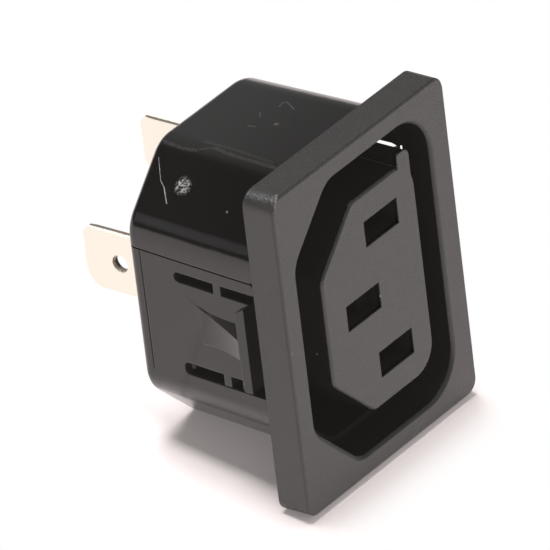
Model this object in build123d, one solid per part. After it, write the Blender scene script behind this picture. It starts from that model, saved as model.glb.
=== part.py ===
from build123d import *
import os

# A panel-mounting power receptacle. One moulded housing has a front plate, a shell that
# passes through the panel and a tongue with three slots. Two spring fingers cut in the
# shell's side walls grip the panel. Three folded sheet contacts sit in pockets behind
# the slots, and each ends in a flat push-on tab at the back.
# X points right seen from the front, Y points back through the panel and Z points up.
# The origin is the centre of the plate's back face, which seats on the panel.
# Depths are Y values unless their name says otherwise, so what stands in front of the
# seat is negative.

# Front plate
plate_width = 26.9
plate_height = 34.1
plate_thickness = 3.45
plate_corner = 1.5
plate_rim = 0.2

# Opening in the plate, cut off at 45 degrees on the earth side
opening_left = 11.0
opening_right = 10.5
opening_half_height = 14.9
opening_chamfer = 6.1
opening_corner = 4.5
opening_edge_round = 2.8
opening_rim = 0.3

# Shell behind the plate, a little narrower at its rear
shell_depth = 16.5
shell_front_left = 11.95
shell_rear_left = 10.95
shell_front_right = 11.95
shell_rear_right = 11.5
shell_front_half_height = 14.95
shell_rear_half_height = 14.8
shell_chamfer = 6.2
shell_corner = 4.9
shell_edge_round = 3.5
shell_rear_round = 0.9
left_wall = 1.6
right_wall = 1.8
end_wall = 1.25
recess_edge_round = 2.3
floor_thickness = 3.5

# Tongue that the plug's shroud slides over
tongue_reach = 3.5
tongue_left = 7.7
tongue_right = 7.55
tongue_half_height = 11.18
tongue_chamfer = 5.6
tongue_corner = 3.0
tongue_edge_round = 1.3
tongue_rim = 0.2
tongue_clearance = 0.5
rib_width = 1.8
rib_height = 1.25
rib_inset = 0.45
rib_inner_round = 0.25
rib_outer_round = 0.8

# Slots and the plug's flat pins
pin_pitch = 14.0
earth_offset = 4.0
pin_column = 2.0
slot_width = 5.2
slot_height = 2.7
slot_wall = 1.8

# Spring fingers in the side walls
panel_grip = 2.05
finger_root = 11.1
finger_gap_end_round = 0.5
left_gap_top = 5.05
left_finger_top = 3.97
left_finger_bottom = -4.67
left_gap_bottom = -5.98
right_gap_top = 10.25
right_finger_top = 8.4
bridge_near = 5.42
bridge_far = 6.3
bridge_clearance = 0.12
gap_relief = 0.1
gap_corner_length = 0.8
gap_corner_drop = 0.28

# Catch on each finger: a lip along its free end, and a ramp that rises to the lip
catch_height = 1.0
catch_length = 1.07
catch_top_slope = 0.65
catch_overhang = 0.46
catch_corner = 0.4
ramp_end = 8.5
ramp_middle = 5.25
ramp_sink = 0.4
ramp_feather = 0.02
ramp_foot_heights = (1.52, 1.45, 2.0)
ramp_ridge_heights = (0.39, 0.75, 1.95)
ramp_low_heights = (-1.8, -1.85, -2.0)

# Fine lines that the mould's side slide leaves on the left wall
slide_line_height = 6.3
slide_line_low = -6.55
slide_line_depth = 15.05
slide_line_start = 1.1
slide_line_width = 0.13
slide_line_cut = 0.12
slide_notch = 0.42

# Folded sheet contacts
sheet = 0.4
tab_width = 6.3
tab_root = 11.9
line_tab_end = 26.0
earth_tab_end = 26.5
line_tab_offset = 2.5
earth_tab_offset = 3.2
tab_hole_radius = 0.92
tab_hole_from_end = 4.25
tab_bevel_length = 1.4
tab_tip_half = 0.18
tab_top_cut = 0.7
tab_bottom_round = 2.0
channel_half_height = 2.2
channel_front = 7.0
bend_radius = 0.5
leaf_width = 4.3
leaf_pinch = 0.85
leaf_pinch_depth = 1.7
leaf_mouth = 1.45
leaf_mouth_slope = 0.45
lance_width = 1.6
lance_root = 7.7
lance_end = 10.4
lance_lift = 0.5
lance_slit = 0.2

# Clearances between a contact and its pocket
side_clearance = 0.15
end_clearance = 0.2


def across(depth):
    """Plane across the part at a depth, drawn with X to the right and Z up."""
    return Plane.XZ.offset(-depth)


def box(low, high):
    """Block between two opposite corners."""
    size = [b - a for a, b in zip(low, high)]
    middle = [(a + b) / 2 for a, b in zip(low, high)]
    return Pos(*middle) * Box(*size)


def sharp_outline(left, right, half_height, chamfer_size):
    """Outline cut off at both left corners."""
    upper = [
        (-left, half_height - chamfer_size),
        (-left + chamfer_size, half_height),
        (right, half_height),
    ]
    lower = [(x, -z) for x, z in reversed(upper)]
    return make_face(Polyline(*upper, *lower, close=True))


def d_outline(left, right, half_height, chamfer_size, corner, edge_round):
    """The same outline with both right corners and the four left ones rounded."""
    face = sharp_outline(left, right, half_height, chamfer_size)
    face = fillet(face.vertices().sort_by(Axis.X)[-2:], corner)
    return fillet(face.vertices().sort_by(Axis.X)[:4], edge_round)


def tapered_prism(front, rear, corner, edge_round):
    """Solid between two sharp outlines, with its lengthwise edges rounded."""
    solid = loft([front, rear], ruled=True)
    lengthwise = solid.edges().group_by(Axis.Y)[1].sort_by(Axis.X)
    solid = fillet(lengthwise[:4], edge_round)
    lengthwise = solid.edges().group_by(Axis.Y)[1].sort_by(Axis.X)
    return fillet(lengthwise[-2:], corner)


def tapered(front, rear, depth):
    """One of the shell's sizes at a depth, between its front and its rear."""
    return front + (rear - front) * depth / shell_depth


def shell_left(depth):
    """How far the shell reaches left at a depth."""
    return tapered(shell_front_left, shell_rear_left, depth)


def shell_right(depth):
    """How far the shell reaches right at a depth."""
    return tapered(shell_front_right, shell_rear_right, depth)


def shell_half_height(depth):
    """Half the shell's height at a depth."""
    return tapered(shell_front_half_height, shell_rear_half_height, depth)


def shell_section(depth):
    """The shell's outside at a depth, with sharp corners."""
    outline = sharp_outline(
        shell_left(depth), shell_right(depth), shell_half_height(depth), shell_chamfer
    )
    return across(depth) * outline


def recess_section(depth):
    """The room inside the shell's walls at a depth, with sharp corners."""
    outline = sharp_outline(
        shell_left(depth) - left_wall,
        shell_right(depth) - right_wall,
        shell_half_height(depth) - end_wall,
        shell_chamfer - end_wall / 2,
    )
    return across(depth) * outline


def plate():
    """Front plate with rounded corners and a narrow bevel round its front."""
    outline = RectangleRounded(plate_width, plate_height, plate_corner)
    solid = extrude(across(-plate_thickness) * outline, -plate_thickness)
    front = solid.faces().sort_by(Axis.Y)[0]
    return chamfer(front.edges(), plate_rim)


def plate_opening():
    """Cutter for the opening, flared a little at the front."""
    outline = d_outline(
        opening_left,
        opening_right,
        opening_half_height,
        opening_chamfer,
        opening_corner,
        opening_edge_round,
    )
    flare = d_outline(
        opening_left + opening_rim,
        opening_right + opening_rim,
        opening_half_height + opening_rim,
        opening_chamfer,
        opening_corner + opening_rim,
        opening_edge_round + opening_rim,
    )
    straight = extrude(across(-plate_thickness) * outline, -plate_thickness)
    mouth = loft(
        [across(-plate_thickness) * flare, across(opening_rim - plate_thickness) * outline],
        ruled=True,
    )
    return straight + mouth


def shell():
    """Solid outer form of the shell, rounded at its rear."""
    sections = shell_section(0), shell_section(shell_depth)
    solid = tapered_prism(*sections, shell_corner, shell_edge_round)
    rear = solid.faces().sort_by(Axis.Y)[-1]
    return fillet(rear.edges(), shell_rear_round)


def recess():
    """Cutter for the room between the walls, down to the floor."""
    sections = recess_section(0), recess_section(shell_depth - floor_thickness)
    return tapered_prism(*sections, shell_corner - end_wall, recess_edge_round)


def tongue():
    """Tongue from its front face to the floor, with the rib at its top right."""
    outline = d_outline(
        tongue_left,
        tongue_right,
        tongue_half_height,
        tongue_chamfer,
        tongue_corner,
        tongue_edge_round,
    )
    length = tongue_reach + shell_depth - floor_thickness
    solid = extrude(across(-tongue_reach) * outline, -length)
    front = solid.faces().sort_by(Axis.Y)[0]
    solid = chamfer(front.edges(), tongue_rim)
    rib_right = tongue_right - rib_inset
    rib = box(
        (rib_right - rib_width, -tongue_reach, tongue_half_height - tongue_corner),
        (rib_right, length - tongue_reach, tongue_half_height + rib_height),
    )
    for place, radius in ((0, rib_inner_round), (-1, rib_outer_round)):
        crest = rib.edges().filter_by(Axis.Y).group_by(Axis.Z)[-1].sort_by(Axis.X)
        rib = fillet(crest[place], radius)
    return solid + rib


def panel(depth_low, depth_high, low, high):
    """Rectangle on a side wall, given by its depths and heights."""
    middle = Pos((depth_low + depth_high) / 2, (low + high) / 2)
    return middle * Rectangle(depth_high - depth_low, high - low)


def triangle(first, second, third):
    """Flat triangle between three points."""
    return make_face(Polyline(first, second, third, close=True))


def finger_gap(gap_bottom, finger_bottom, finger_top, gap_top):
    """Gap that frees a spring finger on three sides, seen from its side."""
    whole = panel(-gap_relief, finger_root, gap_bottom, gap_top)
    gap = whole - panel(panel_grip, finger_root, finger_bottom, finger_top)
    roots = gap.vertices().group_by(Axis.X)[-1]
    gap = fillet(roots, finger_gap_end_round)
    bridge_low = gap_bottom + bridge_clearance
    gap -= panel(bridge_near, bridge_far, finger_top, gap_top)
    gap -= panel(bridge_near, bridge_far, bridge_low, finger_bottom)
    front = -gap_relief
    cut = gap_top - gap_corner_drop
    gap -= triangle((front, gap_top), (gap_corner_length, gap_top), (front, cut))
    dip = gap_bottom - gap_corner_drop
    gap += triangle((front, gap_bottom), (gap_corner_length, gap_bottom), (front, dip))
    return gap


def through_wall(sketch):
    """Cutter that carries a side sketch through the left wall."""
    start = Plane.YZ.offset(-shell_front_left)
    return extrude(start * sketch, shell_front_left - tongue_left - tongue_clearance)


def lip(wall_at, wall, bottom, top):
    """Lip that stands out along a finger's free end, through the wall, drawn on the left."""
    back = panel_grip + catch_length
    outline = Polyline(
        (panel_grip, bottom - catch_overhang),
        (back, bottom - catch_overhang),
        (back, top - catch_top_slope),
        (panel_grip, top),
        close=True,
    )
    face = make_face(outline)
    heel = face.vertices().group_by(Axis.X)[-1].sort_by(Axis.Y)[0]
    face = fillet(heel, catch_corner)
    outside = wall_at(back) + catch_height
    inside = wall_at(back) - wall
    return extrude(Plane.YZ.offset(-outside) * face, outside - inside)


def ramp(wall_at):
    """Ramp that rises from the shell's surface to the lip, drawn on the left."""
    back = panel_grip + catch_length
    depths = back, ramp_middle, ramp_end
    sections = []
    for depth, foot, ridge, low in zip(
        depths, ramp_foot_heights, ramp_ridge_heights, ramp_low_heights
    ):
        wall = -wall_at(depth)
        rise = catch_height * ((ramp_end - depth) / (ramp_end - back)) ** 2
        outside = wall - max(rise, ramp_feather)
        inside = wall + ramp_sink
        corners = ((inside, foot), (wall, foot), (outside, ridge), (outside, low), (inside, low))
        face = make_face(Polyline(*corners, close=True))
        sections.append(across(depth) * face)
    return loft(sections)


def slide_lines():
    """Cutter for the fine lines on the left wall."""
    outside = -shell_front_left
    inside = -shell_rear_left + 2 * slide_line_cut
    half = slide_line_width / 2
    notch_half = slide_notch / 2
    lines = box(
        (outside, slide_line_start, slide_line_height - half),
        (inside, shell_depth, slide_line_height + half),
    )
    lines += box(
        (outside, slide_line_depth - half, slide_line_low),
        (inside, slide_line_depth + half, slide_line_height),
    )
    lines += box(
        (outside, slide_line_start, slide_line_height - notch_half),
        (inside, slide_line_start + slide_notch, slide_line_height + notch_half),
    )
    return lines - Pos(slide_line_cut, 0, 0) * shell()


def contact_places():
    """Each contact's name, its pin's X and Z, its tab's offset, side and rear end."""
    earth_column = pin_column - earth_offset
    return (
        ("line_contact", pin_column, pin_pitch / 2, line_tab_offset, 1, line_tab_end),
        ("neutral_contact", pin_column, -pin_pitch / 2, line_tab_offset, 1, line_tab_end),
        ("earth_contact", earth_column, 0, earth_tab_offset, -1, earth_tab_end),
    )


def placed(solid, column, height, side):
    """Move what was drawn round a pin at the origin with its tab on the right."""
    if side < 0:
        solid = mirror(solid, Plane.YZ)
    return Pos(column, 0, height) * solid


def pocket(tab_offset):
    """Cutter for one contact's slot and pocket, drawn round its pin."""
    web_out = tab_offset + sheet
    leaf_in = tab_offset - leaf_width
    pocket_front = slot_wall - tongue_reach
    high = channel_half_height + side_clearance
    slot = box(
        (-slot_width / 2, -tongue_reach - 1, -slot_height / 2),
        (slot_width / 2, pocket_front, slot_height / 2),
    )
    room = box(
        (leaf_in - side_clearance, pocket_front, -high),
        (web_out + side_clearance, shell_depth + 1, high),
    )
    tab_high = tab_width / 2 + side_clearance
    tab_room = box(
        (tab_offset - sheet - side_clearance, tab_root - end_clearance, -tab_high),
        (web_out + side_clearance, shell_depth + 1, tab_high),
    )
    catch_high = lance_width / 2 + side_clearance
    catch = box(
        (web_out, lance_root, -catch_high),
        (web_out + lance_lift + side_clearance, lance_end + end_clearance, catch_high),
    )
    return slot + room + tab_room + catch


def tab(tab_offset, tab_end):
    """Flat tab, folded double, with a thinned tip and a hole."""
    half = tab_width / 2
    profile = panel(tab_root, tab_end, -half, half)
    lower = profile.vertices().group_by(Axis.X)[-1].sort_by(Axis.Y)[0]
    profile = fillet(lower, tab_bottom_round)
    upper = profile.vertices().group_by(Axis.X)[-1].sort_by(Axis.Y)[-1]
    profile = chamfer(upper, tab_top_cut)
    profile -= Pos(tab_end - tab_hole_from_end, 0) * Circle(tab_hole_radius)
    blank = extrude(Plane.YZ.offset(tab_offset - sheet) * profile, 2 * sheet)
    bevel_start = tab_end - tab_bevel_length
    plan = Polyline(
        (tab_offset - sheet, tab_root),
        (tab_offset + sheet, tab_root),
        (tab_offset + sheet, bevel_start),
        (tab_offset + tab_tip_half, tab_end),
        (tab_offset - tab_tip_half, tab_end),
        (tab_offset - sheet, bevel_start),
        close=True,
    )
    return blank & extrude(Plane.XY.offset(-half) * make_face(plan), tab_width)


def leaf(tab_offset, sign):
    """Spring leaf that runs forward from the channel and pinches the pin."""
    middle = channel_half_height - sheet / 2
    tip = slot_wall - tongue_reach + end_clearance
    path = Spline(
        (channel_front, sign * middle),
        (leaf_pinch_depth, sign * (leaf_pinch + sheet / 2)),
        (tip, sign * (leaf_mouth + sheet / 2)),
        tangents=[(-1, 0), (-1, sign * leaf_mouth_slope)],
    )
    strip = trace(path, sheet)
    return extrude(Plane.YZ.offset(tab_offset - leaf_width) * strip, leaf_width)


def contact(tab_offset, tab_end):
    """One contact of folded sheet, drawn round its pin with its tab on the right."""
    web_middle = tab_offset + sheet / 2
    flange = channel_half_height - sheet / 2
    path = FilletPolyline(
        (tab_offset - leaf_width, flange),
        (web_middle, flange),
        (web_middle, -flange),
        (tab_offset - leaf_width, -flange),
        radius=bend_radius,
    )
    channel_length = tab_root - sheet - channel_front
    solid = extrude(across(channel_front) * trace(path, sheet), -channel_length)
    solid += leaf(tab_offset, 1) + leaf(tab_offset, -1)
    neck = channel_half_height - bend_radius - sheet
    solid += box(
        (tab_offset, tab_root - sheet - bend_radius, -neck),
        (tab_offset + sheet, tab_root + sheet, neck),
    )
    slit = lance_width / 2 + lance_slit
    solid -= box(
        (tab_offset - sheet, lance_root, -slit),
        (tab_offset + 2 * sheet, lance_end + lance_slit, slit),
    )
    lance_path = Line(
        (web_middle, lance_root - sheet),
        (web_middle + lance_lift - sheet / 2, lance_end - sheet / 2),
    )
    strip = trace(lance_path, sheet)
    solid += extrude(Plane.XY.offset(-lance_width / 2) * strip, lance_width)
    return solid + tab(tab_offset, tab_end)


def housing():
    """The one-piece moulding."""
    solid = plate() + shell()
    solid -= plate_opening()
    solid -= recess()
    solid += tongue()
    for _, column, height, offset, side, _ in contact_places():
        solid -= placed(pocket(offset), column, height, side)
    left = finger_gap(left_gap_bottom, left_finger_bottom, left_finger_top, left_gap_top)
    right = finger_gap(-right_gap_top, -right_finger_top, right_finger_top, right_gap_top)
    solid -= through_wall(left)
    solid -= mirror(through_wall(right), Plane.YZ)
    solid += lip(shell_left, left_wall, left_finger_bottom, left_finger_top)
    solid += ramp(shell_left)
    catch = lip(shell_right, right_wall, -right_finger_top, right_finger_top)
    solid += mirror(catch + ramp(shell_right), Plane.YZ)
    solid -= slide_lines()
    return solid


os.makedirs("parts", exist_ok=True)
export_step(housing(), "parts/housing.step")
for name, column, height, offset, side, end in contact_places():
    piece = placed(contact(offset, end), column, height, side)
    export_step(piece, f"parts/{name}.step")
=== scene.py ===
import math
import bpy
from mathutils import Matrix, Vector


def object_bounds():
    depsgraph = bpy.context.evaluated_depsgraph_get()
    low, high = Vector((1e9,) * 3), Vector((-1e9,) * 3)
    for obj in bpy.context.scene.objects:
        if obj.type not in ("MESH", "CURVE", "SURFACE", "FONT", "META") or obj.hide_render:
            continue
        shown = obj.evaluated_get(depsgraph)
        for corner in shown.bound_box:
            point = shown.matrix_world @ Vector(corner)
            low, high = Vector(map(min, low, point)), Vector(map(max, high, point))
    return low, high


bl_info = {
    "name": "Power receptacle",
    "version": (1, 0, 0),
    "blender": (4, 5, 0),
    "location": "3D View > Sidebar > Receptacle",
    "description": "Finishes a snap-in power receptacle and sets up its studio",
    "category": "Object",
}

import bmesh
import bpy
from bpy.props import FloatProperty, FloatVectorProperty, PointerProperty
from mathutils import Matrix, Vector

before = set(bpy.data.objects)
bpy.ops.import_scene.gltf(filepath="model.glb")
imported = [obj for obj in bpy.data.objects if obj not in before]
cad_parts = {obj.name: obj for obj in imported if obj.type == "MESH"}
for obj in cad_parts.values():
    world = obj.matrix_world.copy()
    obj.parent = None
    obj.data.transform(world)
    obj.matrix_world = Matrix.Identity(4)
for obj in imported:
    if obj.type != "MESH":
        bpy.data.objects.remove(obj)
cad_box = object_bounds()

CONTACTS = ("line_contact", "neutral_contact", "earth_contact")
MM = 0.001

# Indices of refraction, chosen by how strongly each part mirrors the room in the photograph
SHELL_IOR = 1.62
FRONT_IOR = 1.95
DULL_IOR = 1.3
# The lowest one keeps the places painted as shade from mirroring the room
INSIDE_IOR = 1.1

# How softly edges catch the light
EDGE_SOFTNESS = 0.15 * MM
EDGE_SAMPLES = 6

# Fine texture in front of the seat, slow waves behind it, scuffs with painted highlights and
# uneven sheen: grains per metre, the strength and depth of each bump, and how far the roughness
# changes
GRIT_PER_METRE = 5200.0
GRIT_BUMP = (0.9, 0.00008)
SWELL_PER_METRE = 260.0
SWELL_BUMP = (0.2, 0.00008)
WEAR_AND_HIGHLIGHT_BUMP = (0.5, 0.00004)
SHEEN_PER_METRE = 900.0
SHEEN_CHANGE = 0.06

# Where one look of the housing gives way to the next, in millimetres along an axis
SEAT = (-0.02, 0.03)
FRONT_FACE = (-3.4, -3.25)
OPENING = (-3.3, -2.9)
OPENING_DEPTH = (-2.0, 11.0)
PLATE_TOP = (16.9, 17.03)
PLATE_SIDES = (16.6, 17.0)

# How far the plate's top takes the dull finish, and its sides the front's finish
TOP_DULLNESS = 0.25
SIDE_SHARE = 0.5

# The duller upper part of the shell, dullest towards the plate: where it starts, how it fades and
# how dull it is
DULLED_TOP_HEIGHT = (11.5, 14.0)
DULLED_TOP_DEPTH = (1.0, 15.0)
DULLED_TOP_LEAN = 0.3
DULLED_TOP_DULLNESS = 0.75

# The shell's outside lies past these widths, heights, slants and depths
SHELL_WIDE = (10.7, 10.9)
SHELL_TALL = (14.1, 14.4)
SHELL_SLANTED = (18.9, 19.3)
SHELL_REAR = (13.8, 14.2)

# The opening and its walls end at these widths and heights
WITHIN_WIDE = (11.4, 12.4)
WITHIN_TALL = (15.4, 16.4)

# What is painted as shade: cuts in the side walls, the ramps' upper facets, all that faces
# inwards
WALL_FROM = (9.5, 10.0)
CUT_FRONT = (0.1, 0.3)
CUT_REAR = (13.0, 14.0)
CUT_HEIGHT = (8.5, 9.0)
CUT_FACING = (0.5, 0.75)
FACET_FACING = (0.12, 0.35)
FACET_FRONT = (2.6, 3.0)
FACET_REAR = (8.6, 9.0)
FACET_MIDDLE = 1.2
FACET_HALF = (1.5, 1.7)
INWARDS = (3.0, 6.0)

# Wear on the housing, and highlights and glints painted as pale marks, with places in millimetres
WEAR_AND_HIGHLIGHT_ROUGHNESS = 0.5
INSIDE_ROUGHNESS = 0.5
SCUFF_PLACE = (-7.72, 11.61, 12.17)
SCUFF_RADIUS = (0.45, 1.1)
TORN_PER_METRE = 4200.0
TORN_DETAIL = 4.0
TORN_ROUGH = 0.65
SCUFF_TORN = (0.42, 0.66)
LINE_BROKEN = (0.3, 0.55)
LINE_WANDER = 0.12
# Each line of wear or painted highlight: its points, half its width and how pale it is
WEAR_AND_HIGHLIGHT_LINES = (
    (((-6.16, 15.44, 13.47), (-7.65, 14.28, 12.06), (-8.05, 13.64, 11.7)), 0.03, 0.7),
    (((-8.05, 13.64, 11.7), (-9.07, 12.71, 10.74)), 0.045, 0.9),
    # Painted highlights along the rounded edge between the top and the left chamfer, a double
    # line
    (((-4.85, 15.65, 14.46), (-5.1, 13.4, 14.45), (-5.0, 11.86, 14.45)), 0.2, 0.055),
    (((-5.0, 11.86, 14.45), (-4.5, 10.8, 14.7), (-4.25, 10.11, 14.79)), 0.14, 0.04),
    (((-4.25, 10.11, 14.79), (-4.6, 7.6, 14.75), (-4.95, 1.0, 14.8)), 0.22, 0.05),
    (((-3.7, 11.7, 14.84), (-3.8, 8.07, 14.88), (-4.3, 3.5, 14.89)), 0.18, 0.035),
    (
        ((4.7, 9.22, 14.87), (5.49, 9.4, 14.86), (5.66, 9.04, 14.87), (4.87, 7.67, 14.88)),
        0.06,
        0.13,
    ),
    (((0.45, 9.74, 14.86), (0.58, 9.05, 14.87)), 0.07, 0.13),
    (((3.06, 10.29, 14.86), (2.28, 9.71, 14.86)), 0.06, 0.1),
    # A painted highlight along the foot of the small rib on the tongue
    (((5.3, -3.4, 11.19), (5.3, 0.8, 11.19)), 0.05, 0.3),
    (((-12.0, -3.0, 17.05), (-12.5, -3.3, 16.85), (-13.0, -3.4, 16.3)), 0.12, 0.3),
)
# Small specks of wear and painted glints: their place, radius and how pale they are
SPECKS = (
    ((-8.85, 5.76, 11.45), 0.16, 0.3),
    ((1.82, 7.49, 14.88), 0.3, 0.13),
    # A painted glint at the edge of the middle slot in the front
    ((0.6, -3.45, -0.18), 0.14, 1.0),
    ((-13.1, -3.45, 0.85), 0.14, 0.25),
    ((-7.7, -1.94, -2.41), 0.16, 0.25),
    # A painted glint in the lower slot of the left wall
    ((-10.15, 11.0, -5.79), 0.34, 0.9),
)
# A dull streak across the top
STREAK = ((4.1, 7.1, 14.89), (0.9, 4.75, 14.91))
STREAK_HALF = 0.18
STREAK_DULLNESS = 0.7

# A faint fold in the left wall, behind the ramp: its near end, direction and length
FOLD_START = (7.46, 1.47)
FOLD_ALONG = (0.902, 0.431)
FOLD_LENGTH = 3.7
FOLD_BOW = 0.035
FOLD_EDGE = (-0.12, 0.3)
FOLD_NEAR = (-0.6, 0.3)
FOLD_HEIGHT = 0.09
FOLD_WALL = (10.0, 10.5)

# Contacts: the middles of the doubled tabs, their two sheared edges, and the dull, painted shade
# where they run inside the housing
TAB_MIDDLES = (4.5, -5.2)
TAB_SEAM_HALF = 0.05
SHEARED_FACING = (0.4, 0.6)
EARTH_FROM = (-0.5, 0.5)
PLATING_ROUGHNESS = 0.3
SHEARED_ROUGHER = 0.4
INSIDE_ROUGHER = 0.2
EDGE_OUTER = (0.95, 0.88, 0.83)
EDGE_INNER = (0.6, 0.5, 0.41)
INSIDE_SHADE_COLOUR = (0.025, 0.023, 0.021)
INSIDE_FULL = 9.0
INSIDE_FROM = 14.0

# The floor round the part's foot, which keeps the shadow, and the clear white beyond it
FOOTPRINT_MIDDLE = 6.5
FOOTPRINT_HALF = (13.5, 10.0)
WHITE_FROM = 0.5
WHITE_FULL = 6.4
FLOOR_WARMTH = (1.13, 1.03, 1.02)
FLOOR_GLOW = 0.14
FLOOR_HALF = 1.5

# How bright the room is, as surfaces mirror it and as it lights them, and where it changes
ROOM_LIGHT = 0.3
ROOM_DARK = 0.05
ROOM_FILL = 0.1
ROOM_FRONT_FILL = 0.7
BEHIND_LEFT = (-0.8, 0.6, 0.0)
DARK_CORNER = (0.2, 0.6)
AHEAD = (0.0, -1.0, 0.0)
FRONT_SIDE = (0.0, 0.6)

# The softboxes' places, in metres from the part when it stands, and their sizes
OVERHEAD_PLACE = (0.01, 0.24, 0.97)
OVERHEAD_SIZE = (0.44, 0.44)
SIDE_PLACE = (-0.76, 0.53, 0.375)
SIDE_SIZE = (0.8, 0.34)

# The camera of the photograph
CAMERA_PLACE = (-0.804335, -0.663438, 0.592757)
CAMERA_TURN = (60.29527, 6.12545, -53.61463)
CAMERA_LENS = 844.263
CAMERA_SENSOR = 36.0


class Value:
    """A shader value that takes Python's arithmetic and adds a Math node for it."""

    def __init__(self, graph, socket):
        self.graph = graph
        self.socket = socket

    def math(self, operation, *values):
        inputs = dict(enumerate(values))
        return self.graph.node("ShaderNodeMath", {"operation": operation}, inputs)

    def __add__(self, other):
        return self.math("ADD", self, other)

    def __radd__(self, other):
        return self.math("ADD", other, self)

    def __sub__(self, other):
        return self.math("SUBTRACT", self, other)

    def __rsub__(self, other):
        return self.math("SUBTRACT", other, self)

    def __mul__(self, other):
        return self.math("MULTIPLY", self, other)

    def __rmul__(self, other):
        return self.math("MULTIPLY", other, self)

    def __pow__(self, other):
        return self.math("POWER", self, other)

    def __abs__(self):
        return self.math("ABSOLUTE", self)

    def least(self, other):
        return self.math("MINIMUM", self, other)

    def most(self, other):
        return self.math("MAXIMUM", self, other)


class Graph:
    """The node tree of one material or world."""

    def __init__(self, owner):
        owner.use_nodes = True
        self.tree = owner.node_tree
        self.tree.nodes.clear()

    def node(self, kind, settings=None, inputs=None, output=0):
        """Add a node, set it up, fill or link its inputs and return one output."""
        made = self.tree.nodes.new(kind)
        for name, setting in (settings or {}).items():
            setattr(made, name, setting)
        for key, value in (inputs or {}).items():
            if isinstance(value, Value):
                self.tree.links.new(value.socket, made.inputs[key])
            else:
                made.inputs[key].default_value = value
        return Value(self, made.outputs[output]) if made.outputs else None

    def place(self):
        """Where a point lies on the object, as X, Y and Z in millimetres."""
        at = self.node("ShaderNodeTexCoord", output="Object")
        parts = self.node("ShaderNodeSeparateXYZ", inputs={0: at})
        node = parts.socket.node
        return at, [Value(self, node.outputs[i]) * (1 / MM) for i in range(3)]

    def ease(self, value, low, high):
        """Rise smoothly from 0 at low to 1 at high."""
        inputs = {"Value": value, "From Min": low, "From Max": high}
        return self.node("ShaderNodeMapRange", {"interpolation_type": "SMOOTHSTEP"}, inputs)

    def blend(self, share, first, second):
        """Mix two colours."""
        inputs = {0: share, 6: first, 7: second}
        return self.node("ShaderNodeMix", {"data_type": "RGBA"}, inputs, output=2)

    def grain(self, at, per_metre, detail=2.0, rough=0.5):
        """Fine noise between 0 and 1."""
        inputs = {"Vector": at, "Scale": per_metre, "Detail": detail, "Roughness": rough}
        return self.node("ShaderNodeTexNoise", inputs=inputs)

    def vector(self, operation, first, second, output="Vector"):
        """A Vector Math node on two vectors."""
        settings = {"operation": operation}
        return self.node("ShaderNodeVectorMath", settings, {0: first, 1: second}, output)

    def from_point(self, at, point):
        """How far a point on the part lies from a place, in millimetres."""
        place = [value * MM for value in point]
        return self.vector("DISTANCE", at, place, "Value") * (1 / MM)

    def from_line(self, at, start, end):
        """How far a point on the part lies from a line between two places."""
        first = Vector(start) * MM
        line = Vector(end) * MM - first
        offset = self.vector("SUBTRACT", at, first)
        share = self.vector("DOT_PRODUCT", offset, line / line.length_squared, "Value")
        share = share.most(0.0).least(1.0)
        nearest = self.node(
            "ShaderNodeVectorMath", {"operation": "SCALE"}, {0: line, "Scale": share}
        )
        return self.vector("DISTANCE", offset, nearest, "Value") * (1 / MM)

    def bump(self, height, strength, distance, normal=None):
        inputs = {"Height": height, "Strength": strength, "Distance": distance}
        if normal is not None:
            inputs["Normal"] = normal
        return self.node("ShaderNodeBump", inputs=inputs)

    def seen(self):
        """1 for rays from the camera and for reflections, 0 for others."""
        camera = self.node("ShaderNodeLightPath", output="Is Camera Ray")
        return camera.most(self.node("ShaderNodeLightPath", output="Is Glossy Ray"))

    def principled(self, **inputs):
        """A Principled shader."""
        names = {key.replace("_", " "): value for key, value in inputs.items()}
        return self.node("ShaderNodeBsdfPrincipled", inputs=names)

    def mixed(self, share, first, second):
        """Mix two shaders."""
        return self.node("ShaderNodeMixShader", inputs={0: share, 1: first, 2: second})

    def finish(self, shader):
        """Use a shader as the material's surface."""
        self.node("ShaderNodeOutputMaterial", inputs={"Surface": shader})


def opaque(colour):
    """A colour with full alpha."""
    return (*colour, 1.0)


def fresh_material(name):
    """A new material and its empty graph."""
    material = bpy.data.materials.new(name)
    return material, Graph(material)


def wear(node, material):
    """Put a material on a CAD node."""
    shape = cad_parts[node]
    for held in shape.material_slots:
        held.link = "OBJECT"
        held.material = material


def standing():
    """The plate's lower back edge, and how far the part leans when it stands on it."""
    low = cad_box[0].z
    corners = [vertex.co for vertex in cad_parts["housing"].data.vertices]
    lean = min(math.atan2(at.z - low, at.y) for at in corners if at.y > MM)
    return Vector((0.0, 0.0, low)), lean


def softbox(scene, name, place, size, power):
    """A rectangular softbox that faces the part."""
    data = bpy.data.lights.new(name, "AREA")
    data.shape = "RECTANGLE"
    data.size, data.size_y = size
    data.energy = power
    lamp = bpy.data.objects.new(name, data)
    scene.collection.objects.link(lamp)
    lamp.location = place
    lamp.rotation_euler = place.to_track_quat("Z", "Y").to_euler()


def colour_property(name, description, default):
    return FloatVectorProperty(
        name=name,
        description=description,
        subtype="COLOR",
        size=3,
        min=0.0,
        max=1.0,
        default=default,
    )


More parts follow.
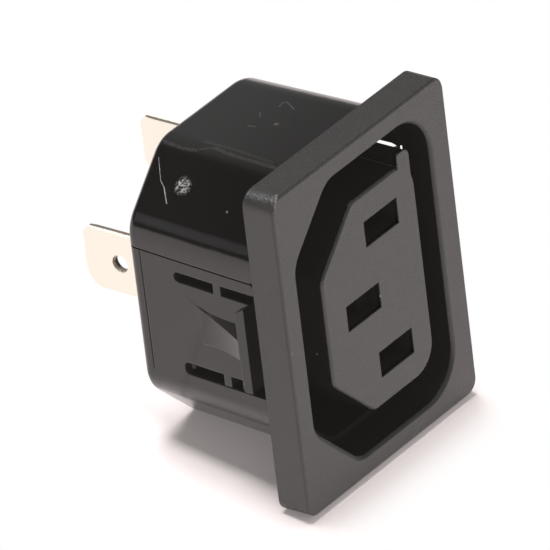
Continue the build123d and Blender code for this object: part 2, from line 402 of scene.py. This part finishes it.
class ReceptacleHousing(bpy.types.PropertyGroup):
    plastic_colour: colour_property(
        "Plastic colour", "Colour of the moulded plastic", (0.0165, 0.0150, 0.0140)
    )
    shell_colour: colour_property(
        "Shell colour", "Colour of the shell's smooth outside", (0.0110, 0.0100, 0.0094)
    )
    # Painted shade darkens the walls round the tongue, and painted light makes them lighter
    # towards the bottom of that room
    inside_shade_colour: colour_property(
        "Inside colour", "Colour of the walls round the tongue", (0.014, 0.013, 0.0122)
    )
    depth_light_colour: colour_property(
        "Depth colour", "Colour at the bottom of the room round the tongue", (0.03, 0.028, 0.026)
    )
    # Painted glow: an even faint light given off by the deep places and the contacts' inner ends,
    # though they are no lamp
    painted_glow_colour: colour_property(
        "Haze colour",
        "Faint even light over the deep places, as the lens's haze shows them",
        (0.0085, 0.0079, 0.0071),
    )
    # Pale colour of scuffs, also used for the painted highlights and glints
    wear_and_highlight_colour: colour_property(
        "Scar colour", "Colour of the plastic where it is scuffed", (0.42, 0.41, 0.40)
    )
    textured_roughness: FloatProperty(
        name="Textured roughness",
        description="Roughness of the finely textured plate and tongue",
        subtype="FACTOR",
        min=0.0,
        max=1.0,
        default=0.46,
    )
    smooth_roughness: FloatProperty(
        name="Smooth roughness",
        description="Roughness of the smoother shell behind the plate",
        subtype="FACTOR",
        min=0.0,
        max=1.0,
        default=0.16,
    )


class ReceptacleContacts(bpy.types.PropertyGroup):
    plating_colour: colour_property(
        "Plating colour", "Colour of the plated sheet", (0.91, 0.90, 0.79)
    )


class ReceptacleStudio(bpy.types.PropertyGroup):
    floor_colour: colour_property("Floor colour", "Colour of the floor", (0.95, 0.87, 0.86))
    overhead_power: FloatProperty(
        name="Overhead power",
        description="Power of the wide softbox above the part",
        unit="POWER",
        min=0.0,
        default=12.2,
    )
    side_power: FloatProperty(
        name="Side power",
        description="Power of the low softbox behind the part's left side",
        unit="POWER",
        min=0.0,
        default=0.35,
    )


class RECEPTACLE_OT_housing(bpy.types.Operator):
    """Give the moulded housing its dark plastic, textured in front and smoother behind"""

    bl_idname = "receptacle.housing"
    bl_label = "Finish housing"

    def execute(self, context):
        look = context.scene.receptacle_housing
        material, graph = fresh_material("housing_plastic")
        at, (x, y, z) = graph.place()
        textured = 1 - graph.ease(y, *SEAT)
        outside = self.outside(graph, x, y, z)
        # Painted shade: the room round the tongue and the places from shaded() take darker
        # colours, a copy of the plastic that mirrors almost nothing, and the painted glow
        inside = (1 - outside) * graph.ease(y, *OPENING) * self.within(graph, x, z)
        inside = inside.most(self.shaded(graph, x, y, z))
        wear_and_highlight = self.wear_and_highlights(graph, at)
        uneven = graph.grain(at, SHEEN_PER_METRE) - 0.5
        smooth = look.smooth_roughness + uneven * SHEEN_CHANGE
        roughness = smooth + textured * (look.textured_roughness - look.smooth_roughness)
        roughness = roughness + inside * (INSIDE_ROUGHNESS - roughness)
        roughness = roughness + wear_and_highlight * (WEAR_AND_HIGHLIGHT_ROUGHNESS - roughness)
        plain = graph.blend(outside, opaque(look.plastic_colour), opaque(look.shell_colour))
        # Painted shade on the walls round the tongue, turning to painted light towards its bottom
        depth = graph.ease(y, *OPENING_DEPTH)
        within = graph.blend(depth, opaque(look.inside_shade_colour), opaque(look.depth_light_colour))
        plain = graph.blend(inside, plain, within)
        colour = graph.blend(wear_and_highlight, plain, opaque(look.wear_and_highlight_colour))
        grit = graph.grain(at, GRIT_PER_METRE) * textured
        swell = graph.grain(at, SWELL_PER_METRE) * (1 - textured)
        softened = {"Radius": EDGE_SOFTNESS}
        rounded = graph.node("ShaderNodeBevel", {"samples": EDGE_SAMPLES}, softened)
        normal = graph.bump(grit, *GRIT_BUMP, rounded)
        normal = graph.bump(swell, *SWELL_BUMP, normal)
        normal = graph.bump(wear_and_highlight, *WEAR_AND_HIGHLIGHT_BUMP, normal)
        normal = graph.bump(self.fold(graph, x, y, z), 1.0, MM, normal)
        finish = {"Base_Color": colour, "Roughness": roughness, "Normal": normal}
        shell = graph.principled(IOR=SHELL_IOR, **finish)
        front = graph.principled(IOR=FRONT_IOR, **finish)
        dull = graph.principled(IOR=DULL_IOR, **finish)
        # Painted glow, and a copy of the plastic that mirrors almost nothing, stand in for the
        # shade and faint light in the deep places
        haze = {"Emission_Color": opaque(look.painted_glow_colour), "Emission_Strength": 1.0}
        shade_copy = graph.principled(IOR=INSIDE_IOR, **haze, **finish)
        sides = textured * (1 - graph.ease(z, *PLATE_SIDES)) * SIDE_SHARE
        shader = graph.mixed((1 - graph.ease(y, *FRONT_FACE)).most(sides), shell, front)
        upper = outside * graph.ease(z + abs(x) * DULLED_TOP_LEAN, *DULLED_TOP_HEIGHT)
        dulled_top = upper * (1 - graph.ease(y, *DULLED_TOP_DEPTH)) * DULLED_TOP_DULLNESS
        streak = graph.from_line(at, *STREAK)
        streak = (1 - graph.ease(streak, STREAK_HALF * 0.4, STREAK_HALF)) * STREAK_DULLNESS
        top = graph.ease(z, *PLATE_TOP) * textured * TOP_DULLNESS
        shader = graph.mixed(dulled_top.most(streak).most(top), shader, dull)
        graph.finish(graph.mixed(inside, shader, shade_copy))
        wear("housing", material)
        return {"FINISHED"}

    def outside(self, graph, x, y, z):
        """1 on the shell's outside, and 0 in front of the seat and inside the shell."""
        wide = graph.ease(abs(x), *SHELL_WIDE)
        tall = graph.ease(abs(z), *SHELL_TALL)
        slanted = graph.ease(abs(x) + abs(z), *SHELL_SLANTED)
        rear = graph.ease(y, *SHELL_REAR)
        return graph.ease(y, *SEAT) * wide.most(tall).most(slanted).most(rear)

    def shaded(self, graph, x, y, z):
        """Painted shade: 1 in the side walls' cuts, on the ramps' upper facets and on all that
        faces inwards.
        """
        normal = graph.node("ShaderNodeTexCoord", output="Normal")
        across = graph.vector("DOT_PRODUCT", normal, (1.0, 0.0, 0.0), "Value")
        up = graph.vector("DOT_PRODUCT", normal, (0.0, 0.0, 1.0), "Value")
        cut = (1 - graph.ease(abs(across), *CUT_FACING)) * graph.ease(y, *CUT_FRONT)
        cut = cut * (1 - graph.ease(y, *CUT_REAR)) * (1 - graph.ease(abs(z), *CUT_HEIGHT))
        facet = graph.ease(up, *FACET_FACING) * graph.ease(y, *FACET_FRONT)
        facet = facet * (1 - graph.ease(y, *FACET_REAR))
        facet = facet * (1 - graph.ease(abs(z - FACET_MIDDLE), *FACET_HALF))
        cut = cut.most(facet) * graph.ease(abs(x), *WALL_FROM)
        sideways = graph.ease(0 - across * x, *INWARDS)
        inwards = sideways.most(graph.ease(0 - up * z, *INWARDS))
        return cut.most(inwards * graph.ease(y, *OPENING))

    def within(self, graph, x, z):
        """1 inside the plate's opening and its walls, and 0 on the plate's own sides."""
        narrow = 1 - graph.ease(abs(x), *WITHIN_WIDE)
        return narrow * (1 - graph.ease(abs(z), *WITHIN_TALL))

    def fold(self, graph, x, y, z):
        """Height in millimetres of the faint fold that runs on from the ramp."""
        start_y, start_z = FOLD_START
        along_y, along_z = FOLD_ALONG
        along = (y - start_y) * along_y + (z - start_z) * along_z
        above = (z - start_z) * along_y - (y - start_y) * along_z
        above = above + (FOLD_LENGTH - along) * along * FOLD_BOW
        drop = 1 - graph.ease(above, *FOLD_EDGE)
        far = 1 - graph.ease(along, FOLD_NEAR[1], FOLD_LENGTH)
        fade = graph.ease(along, *FOLD_NEAR) * far
        return drop * fade * FOLD_HEIGHT * graph.ease(0 - x, *FOLD_WALL)

    def wear_and_highlights(self, graph, at):
        """Where the plastic is scuffed pale or a highlight or glint is painted pale: 0 on sound
        plastic and 1 on a full mark.
        """
        torn = graph.grain(at, TORN_PER_METRE, TORN_DETAIL, TORN_ROUGH)
        scuff = 1 - graph.ease(graph.from_point(at, SCUFF_PLACE), *SCUFF_RADIUS)
        wear_and_highlight = scuff * graph.ease(torn, *SCUFF_TORN)
        broken = graph.ease(torn, *LINE_BROKEN)
        for points, half_width, strength in WEAR_AND_HIGHLIGHT_LINES:
            for start, end in zip(points, points[1:]):
                line = graph.from_line(at, start, end) + (torn - 0.5) * LINE_WANDER
                line = 1 - graph.ease(line, half_width * 0.5, half_width * 1.5)
                wear_and_highlight = wear_and_highlight.most(line * broken * strength)
        for place, radius, strength in SPECKS:
            speck = 1 - graph.ease(graph.from_point(at, place), radius * 0.5, radius)
            wear_and_highlight = wear_and_highlight.most(speck * strength)
        return wear_and_highlight


class RECEPTACLE_OT_contacts(bpy.types.Operator):
    """Give the three folded contacts their pale plating"""

    bl_idname = "receptacle.contacts"
    bl_label = "Finish contacts"

    def execute(self, context):
        look = context.scene.receptacle_contacts
        material, graph = fresh_material("contact_metal")
        _, (x, y, _) = graph.place()
        facing = graph.node("ShaderNodeTexCoord", output="Normal")
        facing = graph.node("ShaderNodeSeparateXYZ", inputs={0: facing})
        sheared = 1 - graph.ease(abs(facing), *SHEARED_FACING)
        line_seam, earth_seam = (
            graph.ease(x, middle - TAB_SEAM_HALF, middle + TAB_SEAM_HALF)
            for middle in TAB_MIDDLES
        )
        line_inner = 1 - line_seam
        earth = 1 - graph.ease(x, *EARTH_FROM)
        inner = line_inner + earth * (earth_seam - line_inner)
        edge = graph.blend(inner, opaque(EDGE_OUTER), opaque(EDGE_INNER))
        colour = graph.blend(sheared, opaque(look.plating_colour), edge)
        # Painted shade: the contacts darken where they run inside the housing
        inside = 1 - graph.ease(y, INSIDE_FULL, INSIDE_FROM)
        colour = graph.blend(inside, colour, opaque(INSIDE_SHADE_COLOUR))
        roughness = PLATING_ROUGHNESS + sheared * (1 - inner) * SHEARED_ROUGHER
        roughness = roughness + inside * INSIDE_ROUGHER
        # The contacts' ends inside the housing take the same painted glow
        haze = context.scene.receptacle_housing.painted_glow_colour
        haze = graph.blend(inside, opaque((0, 0, 0)), opaque(haze))
        shader = graph.principled(
            Base_Color=colour,
            Metallic=1.0,
            Roughness=roughness,
            Emission_Color=haze,
            Emission_Strength=1.0,
        )
        graph.finish(shader)
        for name in CONTACTS:
            wear(name, material)
        return {"FINISHED"}


class RECEPTACLE_OT_studio(bpy.types.Operator):
    """Set up the white floor, the dim room and the two softboxes"""

    bl_idname = "receptacle.studio"
    bl_label = "Set up studio"

    def execute(self, context):
        scene = context.scene
        look = scene.receptacle_studio
        foot, lean = standing()
        upright = Matrix.Rotation(lean, 3, "X")
        self.floor(look, foot, upright)
        self.room(scene, upright)
        overhead = upright @ Vector(OVERHEAD_PLACE)
        softbox(scene, "overhead_softbox", overhead, OVERHEAD_SIZE, look.overhead_power)
        side = upright @ Vector(SIDE_PLACE)
        softbox(scene, "side_softbox", side, SIDE_SIZE, look.side_power)
        scene.view_settings.view_transform = "Standard"
        return {"FINISHED"}

    def floor(self, look, foot, upright):
        mesh = bpy.data.meshes.new("floor")
        shape = bmesh.new()
        bmesh.ops.create_grid(shape, x_segments=1, y_segments=1, size=FLOOR_HALF)
        bmesh.ops.rotate(shape, verts=shape.verts, matrix=upright)
        bmesh.ops.translate(shape, verts=shape.verts, vec=foot)
        shape.to_mesh(mesh)
        shape.free()
        floor = bpy.data.objects.new("floor", mesh)
        bpy.context.scene.collection.objects.link(floor)
        material, graph = fresh_material("floor")
        _, (x, y, _) = graph.place()
        beside = (abs(x) - FOOTPRINT_HALF[0]).most(0.0)
        beyond = (abs(y - FOOTPRINT_MIDDLE) - FOOTPRINT_HALF[1]).most(0.0)
        away = (beside ** 2.0 + beyond ** 2.0) ** 0.5
        white = graph.ease(away, WHITE_FROM, WHITE_FULL) * graph.seen()
        colour = opaque(look.floor_colour)
        lit = graph.node("ShaderNodeBsdfDiffuse", inputs={"Color": colour})
        glow = {"Color": colour, "Strength": graph.seen() * FLOOR_GLOW}
        glow = graph.node("ShaderNodeEmission", inputs=glow)
        lit = graph.node("ShaderNodeAddShader", inputs={0: lit, 1: glow})
        camera = graph.node("ShaderNodeLightPath", output="Is Camera Ray")
        tone = graph.blend(camera, opaque(FLOOR_WARMTH), opaque((1, 1, 1)))
        clear = graph.node("ShaderNodeEmission", inputs={"Color": tone})
        graph.finish(graph.mixed(white, lit, clear))
        mesh.materials.append(material)

    def room(self, scene, upright):
        world = bpy.data.worlds.new("studio")
        scene.world = world
        graph = Graph(world)
        way = graph.node("ShaderNodeTexCoord", output="Generated")
        behind_left = upright @ Vector(BEHIND_LEFT)
        left = graph.vector("DOT_PRODUCT", way, behind_left, "Value")
        mirrored = ROOM_LIGHT - (ROOM_LIGHT - ROOM_DARK) * graph.ease(left, *DARK_CORNER)
        ahead = upright @ Vector(AHEAD)
        front = graph.vector("DOT_PRODUCT", way, ahead, "Value")
        fill = ROOM_FILL + (ROOM_FRONT_FILL - ROOM_FILL) * graph.ease(front, *FRONT_SIDE)
        diffuse = graph.node("ShaderNodeLightPath", output="Is Diffuse Ray")
        level = mirrored + diffuse * (fill - mirrored)
        camera = graph.node("ShaderNodeLightPath", output="Is Camera Ray")
        light = graph.node(
            "ShaderNodeBackground",
            inputs={"Color": opaque((1, 1, 1)), "Strength": level.most(camera)},
        )
        graph.node("ShaderNodeOutputWorld", inputs={"Surface": light})


class RECEPTACLE_OT_camera(bpy.types.Operator):
    """Place the long-lensed camera in front, left of and above the part"""

    bl_idname = "receptacle.camera"
    bl_label = "Place camera"

    def execute(self, context):
        data = bpy.data.cameras.new("camera")
        data.sensor_width = CAMERA_SENSOR
        data.lens = CAMERA_LENS
        camera = bpy.data.objects.new("camera", data)
        context.scene.collection.objects.link(camera)
        camera.location = CAMERA_PLACE
        camera.rotation_euler = [math.radians(angle) for angle in CAMERA_TURN]
        context.scene.camera = camera
        return {"FINISHED"}


class RECEPTACLE_PT_panel(bpy.types.Panel):
    """Everything that finishes the receptacle and sets up its studio"""

    bl_label = "Power receptacle"
    bl_idname = "RECEPTACLE_PT_panel"
    bl_space_type = "VIEW_3D"
    bl_region_type = "UI"
    bl_category = "Receptacle"

    def draw(self, context):
        layout = self.layout
        for operator in OPERATORS:
            layout.operator(operator.bl_idname)


GROUPS = {
    "receptacle_housing": ReceptacleHousing,
    "receptacle_contacts": ReceptacleContacts,
    "receptacle_studio": ReceptacleStudio,
}
OPERATORS = (
    RECEPTACLE_OT_housing,
    RECEPTACLE_OT_contacts,
    RECEPTACLE_OT_studio,
    RECEPTACLE_OT_camera,
)


def register():
    for group in GROUPS.values():
        bpy.utils.register_class(group)
    for name, group in GROUPS.items():
        setattr(bpy.types.Scene, name, PointerProperty(type=group))
    for operator in OPERATORS:
        bpy.utils.register_class(operator)
    bpy.utils.register_class(RECEPTACLE_PT_panel)


def unregister():
    bpy.utils.unregister_class(RECEPTACLE_PT_panel)
    for operator in reversed(OPERATORS):
        bpy.utils.unregister_class(operator)
    for name in GROUPS:
        delattr(bpy.types.Scene, name)
    for group in GROUPS.values():
        bpy.utils.unregister_class(group)


def main():
    register()
    bpy.ops.receptacle.housing()
    bpy.ops.receptacle.contacts()
    bpy.ops.receptacle.studio()
    bpy.ops.receptacle.camera()


if __name__ == "__main__":
    main()
